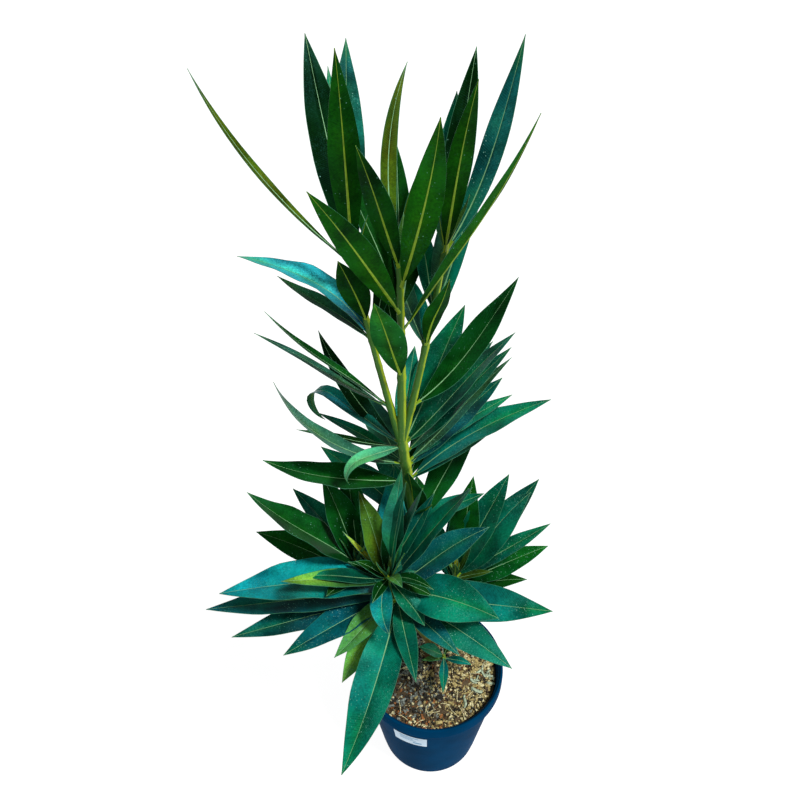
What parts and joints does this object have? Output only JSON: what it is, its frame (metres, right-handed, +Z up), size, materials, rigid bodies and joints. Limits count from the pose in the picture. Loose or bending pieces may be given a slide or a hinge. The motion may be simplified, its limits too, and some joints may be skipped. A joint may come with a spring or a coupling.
{
  "type": "potted oleander",
  "caption": "Young oleander shrub with whorled lance-shaped leaves on upright forked stems, growing in a round tapered nursery pot of potting mix.",
  "frame": {"origin": "middle of the pot's flat underside", "axes": "+Z up along the pot's axis and the plant's height, -Y towards the front with the sticker"},
  "size_m": [0.3115, 0.3127, 0.7359],
  "materials": {
    "pot_plastic": "dark navy blue moulded plastic, dusty satin",
    "soil": "coarse dry potting mix of bark chips, grit and fibre, matt",
    "label_paper": "plain white sticker, satin",
    "bark": "smooth olive-green young bark with raised leaf scars",
    "leaf": "leathery dark green leaf with a pale midrib, satin"
  },
  "bodies": {
    "root": {"pot": "pot_plastic", "potting_mix": "soil", "label": "label_paper", "trunk": "bark", "bough_centre": "bark", "bough_left": "bark", "bough_right": "bark", "low_bough_left": "bark", "low_bough_front": "bark", "low_bough_right": "bark", "crown_centre": "leaf", "crown_left": "leaf", "crown_right": "leaf", "fork_whorl": "leaf", "upper_whorl": "leaf", "lower_whorl": "leaf", "back_whorl": "leaf", "low_back_whorl": "leaf", "rosette_left": "leaf", "rosette_front": "leaf", "rosette_right": "leaf", "sucker": "leaf"}
  },
  "joints": []
}
